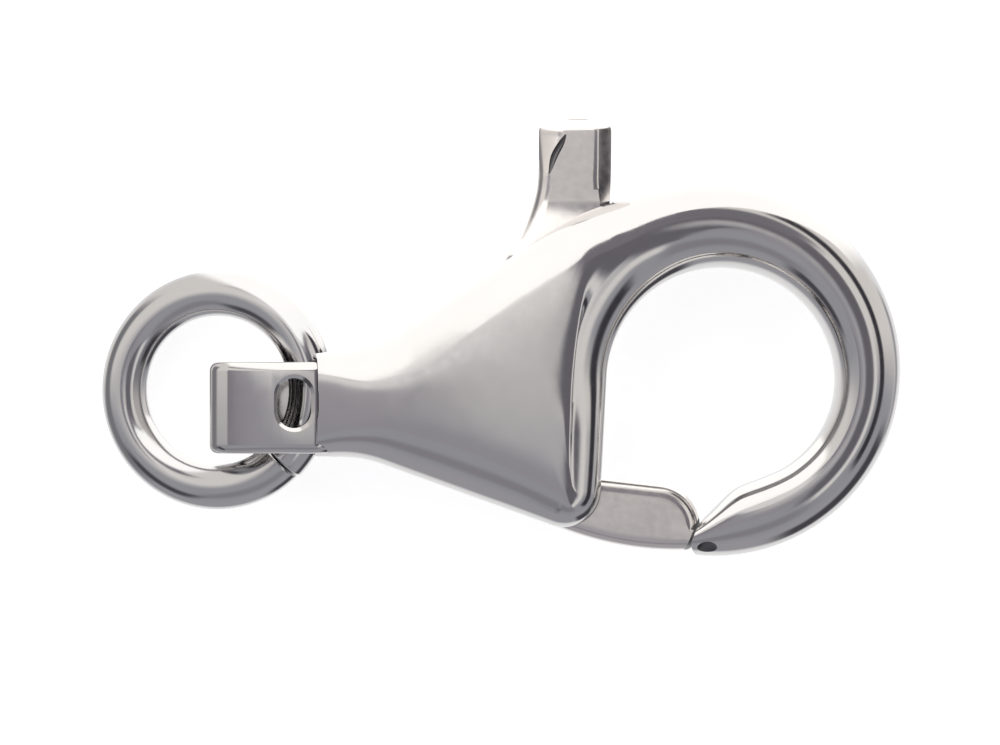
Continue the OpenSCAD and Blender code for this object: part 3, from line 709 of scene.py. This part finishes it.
# Materials
class Nodes:
    """A short way to write a node tree: each call adds nodes and all but add return an output."""

    def __init__(self, tree):
        self.tree = tree

    def add(self, kind, inputs=None, **settings):
        """A node with its inputs linked or set."""
        node = self.tree.nodes.new(kind)
        for key, value in settings.items():
            setattr(node, key, value)
        for key, value in (inputs or {}).items():
            if isinstance(value, bpy.types.NodeSocket):
                self.tree.links.new(value, node.inputs[key])
            else:
                node.inputs[key].default_value = value
        return node

    def calc(self, operation, *values):
        """The result of one step of arithmetic."""
        return self.add("ShaderNodeMath", dict(enumerate(values)), operation=operation).outputs[0]

    def ramp(self, value, stops):
        """A colour by a value, blended between stops."""
        node = self.add("ShaderNodeValToRGB", {0: value})
        band = node.color_ramp
        while len(band.elements) < len(stops):
            band.elements.new(0.5)
        for element, (at, colour) in zip(band.elements, stops):
            element.position, element.color = at, (*colour, 1)
        return node.outputs[0]

    def span(self, value, a, b, c, d):
        """A value from a to b brought softly to one from c to d."""
        ends = {0: value, 1: a, 2: b, 3: c, 4: d}
        return self.add("ShaderNodeMapRange", ends, interpolation_type="SMOOTHSTEP").outputs[0]

    def noise(self, where, scale, detail):
        """Soft noise by place."""
        inputs = {"Vector": where, "Scale": scale, "Detail": detail}
        return self.add("ShaderNodeTexNoise", inputs).outputs["Fac"]


# Noises of the metals, each with its scale per metre and its detail
CLOUDS, GRAIN, SCRATCHES, RIPPLES = (420.0, 3.0), (5200.0, 4.0), (2600.0, 2.0), (900.0, 1.0)
# Depth of the ripples and scratches in metres, and how the scratches turn and stretch
RIPPLE_DEEP, SCRATCH_DEEP, SCRATCH_TURN, SCRATCH_STRETCH = 0.00006, 0.00001, 0.45, 14
# Where the shade turns into the tint, the clouds' share in the polish, and where that turns from smooth
# to rough
SHADE_TO, TINT_FROM, CLOUD_SHARE, SMOOTH_TO, ROUGH_FROM = 0.3, 0.7, 0.6, 0.35, 0.65


def silver(name, tint, shade, rough_low, rough_high, ripple, scratch):
    """Polished silver: two close tints, soft uneven polish, faint ripples and fine scratches."""
    material = bpy.data.materials.new(name)
    material.use_nodes = True
    material.node_tree.nodes.clear()
    n = Nodes(material.node_tree)
    where = n.add("ShaderNodeTexCoord").outputs["Object"]
    cloud = n.noise(where, *CLOUDS)
    grain = n.noise(where, *GRAIN)
    drawn = {"Vector": where, "Rotation": (0, 0, SCRATCH_TURN), "Scale": (1, SCRATCH_STRETCH, 1)}
    lines = n.noise(n.add("ShaderNodeMapping", drawn).outputs[0], *SCRATCHES)
    colour = n.ramp(cloud, [(SHADE_TO, shade), (TINT_FROM, tint)])
    polish = n.calc("ADD", n.calc("MULTIPLY", cloud, CLOUD_SHARE),
                    n.calc("MULTIPLY", grain, 1 - CLOUD_SHARE))
    rough = n.span(polish, SMOOTH_TO, ROUGH_FROM, rough_low, rough_high)
    waves = {"Strength": ripple, "Distance": RIPPLE_DEEP, "Height": n.noise(where, *RIPPLES)}
    wave = n.add("ShaderNodeBump", waves).outputs[0]
    marks = {"Strength": scratch, "Distance": SCRATCH_DEEP, "Height": lines, "Normal": wave}
    fine = n.add("ShaderNodeBump", marks).outputs[0]
    shader = n.add("ShaderNodeBsdfPrincipled", {
        "Base Color": colour, "Metallic": 1.0, "Roughness": rough, "Normal": fine})
    n.add("ShaderNodeOutputMaterial", {"Surface": shader.outputs[0]})
    return material


def dress(made, *materials):
    """Gives a piece its materials, in the order of its face indices."""
    places = [face.material_index for face in made.data.polygons]
    made.data.materials.clear()
    for material in materials:
        made.data.materials.append(material)
    for face, index in zip(made.data.polygons, places):
        face.material_index = min(index, len(materials) - 1)


# Tint, shade, lowest and highest roughness, ripples, scratches
METALS = {
    # Faces of the recess cutters: rougher, and painted dark as the shade in slots, holes, the tip's end and
    # creases
    "rough_silver_painted_shade": ((0.20, 0.195, 0.20), (0.11, 0.105, 0.112), 0.3, 0.45, 0.6, 0.2),
    "polished_silver": ((0.69, 0.675, 0.665), (0.65, 0.64, 0.64), 0.08, 0.14, 0.10, 0.008),
    "lever_silver": ((0.84, 0.80, 0.78), (0.79, 0.755, 0.735), 0.14, 0.24, 0.10, 0.03),
    "ring_silver": ((0.68, 0.67, 0.67), (0.64, 0.635, 0.64), 0.10, 0.16, 0.10, 0.008),
    "pin_steel": ((0.55, 0.55, 0.56), (0.48, 0.48, 0.5), 0.25, 0.4, 0.1, 0.3),
}
metals = {name: silver(name, *row) for name, row in METALS.items()}
dress(body, metals["polished_silver"], metals["rough_silver_painted_shade"])
dress(lever, metals["lever_silver"], metals["rough_silver_painted_shade"])
dress(ring, metals["ring_silver"])
dress(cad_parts["pin"], metals["pin_steel"])

for piece, node, carrier, finish in ((body, "body", "clasp", "polished_silver"),
                                     (lever, "lever", "lever_body", "lever_silver"),
                                     (ring, "jump_ring", "ring_body", "ring_silver")):
    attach(piece, carrier)
    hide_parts(node)

# A white floor, one metre to each side, that glows a little. Reflections don't see it
PAPER_TONE, PAPER_ROUGH, PAPER_GLOW = (0.92, 0.92, 0.92, 1), 0.8, 0.7
floor = mesh_object("floor", [(-1, -1, 0), (1, -1, 0), (1, 1, 0), (-1, 1, 0)], [(0, 1, 2, 3)])
paper = bpy.data.materials.new("floor_paper")
paper.use_nodes = True
paper_shader = paper.node_tree.nodes["Principled BSDF"]
paper_shader.inputs["Base Color"].default_value = PAPER_TONE
paper_shader.inputs["Roughness"].default_value = PAPER_ROUGH
paper_shader.inputs["Emission Color"].default_value = (1, 1, 1, 1)
paper_shader.inputs["Emission Strength"].default_value = PAPER_GLOW
dress(floor, paper)
floor.visible_glossy = False

# A tall white card stands close behind the object, and fades out towards both ends. Only reflections
# see it. Its top is a table of x and height, in millimetres as its other sizes
CARD_Y, CARD_LEFT, CARD_RIGHT, CARD_LOW, CARD_GLOW = 11.0, -10.5, 17.0, -30.0, 1.5
FADE_LEFT, FADE_RIGHT = 1.8, 5.4
CARD_TOP = [
    (-10.5, 34.0), (-5.0, 33.0), (-1.5, 26.0), (1.5, 11.5), (3.4, 7.5), (8.0, 4.5), (12.0, 1.5), (17.0, 0.5)]
CARD_STEPS = 40
card_x = np.linspace(CARD_LEFT, CARD_RIGHT, CARD_STEPS + 1)
card_points = [(x * MM, CARD_Y * MM, z * MM)
               for x, top in zip(card_x, column(CARD_TOP, 1, card_x)) for z in (CARD_LOW, top)]
card_faces = [(2 * i, 2 * i + 2, 2 * i + 3, 2 * i + 1) for i in range(CARD_STEPS)]
card = mesh_object("card", card_points, card_faces)
card_cloth = bpy.data.materials.new("card_cloth")
card_cloth.use_nodes = True
card_cloth.node_tree.nodes.clear()
cloth = Nodes(card_cloth.node_tree)
card_place = cloth.add("ShaderNodeTexCoord").outputs["Object"]
card_at = cloth.add("ShaderNodeSeparateXYZ", {0: card_place}).outputs[0]
card_bright = {"Color": (1.0, 0.99, 0.965, 1), "Strength": CARD_GLOW}
card_light = cloth.add("ShaderNodeEmission", card_bright).outputs[0]
card_clear = cloth.add("ShaderNodeBsdfTransparent").outputs[0]
card_share = cloth.calc("MULTIPLY", *[
    cloth.span(card_at, CARD_LEFT * MM, (CARD_LEFT + FADE_LEFT) * MM, 0.0, 1.0),
    cloth.span(card_at, (CARD_RIGHT - FADE_RIGHT) * MM, CARD_RIGHT * MM, 1.0, 0.0)])
card_mix = cloth.add("ShaderNodeMixShader", {0: card_share, 1: card_clear, 2: card_light})
cloth.add("ShaderNodeOutputMaterial", {"Surface": card_mix.outputs[0]})
dress(card, card_cloth)
card.visible_camera = False
card.visible_diffuse = False
card.visible_shadow = False
card.visible_transmission = False

# Studio: a sky that brightens towards +Y, with soft panels around the object. Rows: azimuth, half
# width, elevation, half height, softness, brightness, tint
SKY_SOUTH, SKY_NORTH, SKY_TURN = (0.39, 0.395, 0.425, 1), (0.88, 0.845, 0.81, 1), 0.24
PANELS = [
    ("sheet", 0, 200, -68, 28, 8, 0.95, (1.0, 1.0, 1.0)),
    ("front_low", -100, 60, -12, 18, 8, 0.42, (0.99, 0.98, 1.04)),
    ("front_dim", -92, 34, 36, 13, 8, 0.3, (0.99, 0.97, 1.06)),
    ("left_low", 180, 40, -8, 18, 8, 0.25, (0.99, 0.98, 1.04)),
    ("back_dark", -138, 18, 14, 12, 6, 0.08, (1.0, 0.97, 1.12)),
    ("corner_dark", -45, 24, -28, 16, 6, 0.08, (1.0, 0.97, 1.12)),
    ("east_light", -8, 50, 50, 6, 4, 0.85, (1.02, 1.0, 0.97)),
    ("side_dark", 15, 52, 22, 10, 4, 0.05, (1.0, 0.95, 1.15)),
    ("side_low", 0, 24, -47, 6, 6, 0.35, (1.0, 0.98, 1.04)),
    ("overhead_ring", 0, 200, 77, 6, 3, 0.38, (1.0, 0.97, 1.06)),
    ("overhead_light", 128, 26, 73, 11, 4, 0.95, (1.01, 1.0, 0.98)),
    ("overhead_left", 180, 36, 72, 4, 2, 0.28, (1.0, 0.95, 1.08)),
    ("overhead_back", 5, 70, 71, 12, 3, 0.17, (1.0, 0.95, 1.08)),
    ("back_high", 80, 36, 60, 18, 6, 0.22, (1.0, 0.95, 1.08)),
]
world = bpy.data.worlds.new("studio")
bpy.context.scene.world = world
world.use_nodes = True
world.node_tree.nodes.clear()
sky = Nodes(world.node_tree)
direction = sky.add("ShaderNodeTexCoord").outputs["Generated"]
axes = sky.add("ShaderNodeSeparateXYZ", {0: direction})
elevation = sky.calc("DEGREES", sky.calc("ARCSINE", axes.outputs[2]))
azimuth = sky.calc("DEGREES", sky.calc("ARCTAN2", axes.outputs[1], axes.outputs[0]))
north = sky.span(axes.outputs[1], -SKY_TURN, SKY_TURN, 0.0, 1.0)
light = sky.add("ShaderNodeMix", {0: north, 6: SKY_SOUTH, 7: SKY_NORTH}, data_type="RGBA").outputs[2]
for name, at, half, height, half_height, soft, bright, tint in PANELS:
    aside = sky.calc("ABSOLUTE", sky.calc("WRAP", sky.calc("SUBTRACT", azimuth, at), 180.0, -180.0))
    above = sky.calc("ABSOLUTE", sky.calc("SUBTRACT", elevation, height))
    share = sky.calc("MULTIPLY", sky.span(aside, half - soft, half + soft, 1.0, 0.0),
                     sky.span(above, half_height - soft, half_height + soft, 1.0, 0.0))
    panel = tuple(bright * part for part in tint) + (1,)
    light = sky.add("ShaderNodeMix", {0: share, 6: light, 7: panel}, data_type="RGBA").outputs[2]
glow = sky.add("ShaderNodeBackground", {"Color": light, "Strength": 1.0})
sky.add("ShaderNodeOutputWorld", {"Surface": glow.outputs[0]})

# Camera straight above, framed as the photograph: the middle of the view, its width and the camera's
# height
VIEW_X, VIEW_Y, VIEW_W, VIEW_H = -1.217, 2.293, 21.739, 250.0
lens = bpy.data.cameras.new("camera")
lens.sensor_width = 36.0
lens.lens = lens.sensor_width * (VIEW_H - MID) / VIEW_W
camera = bpy.data.objects.new("camera", lens)
camera.location = (VIEW_X * MM, VIEW_Y * MM, VIEW_H * MM)
bpy.context.scene.collection.objects.link(camera)
bpy.context.scene.camera = camera
bpy.context.scene.view_settings.view_transform = "Standard"
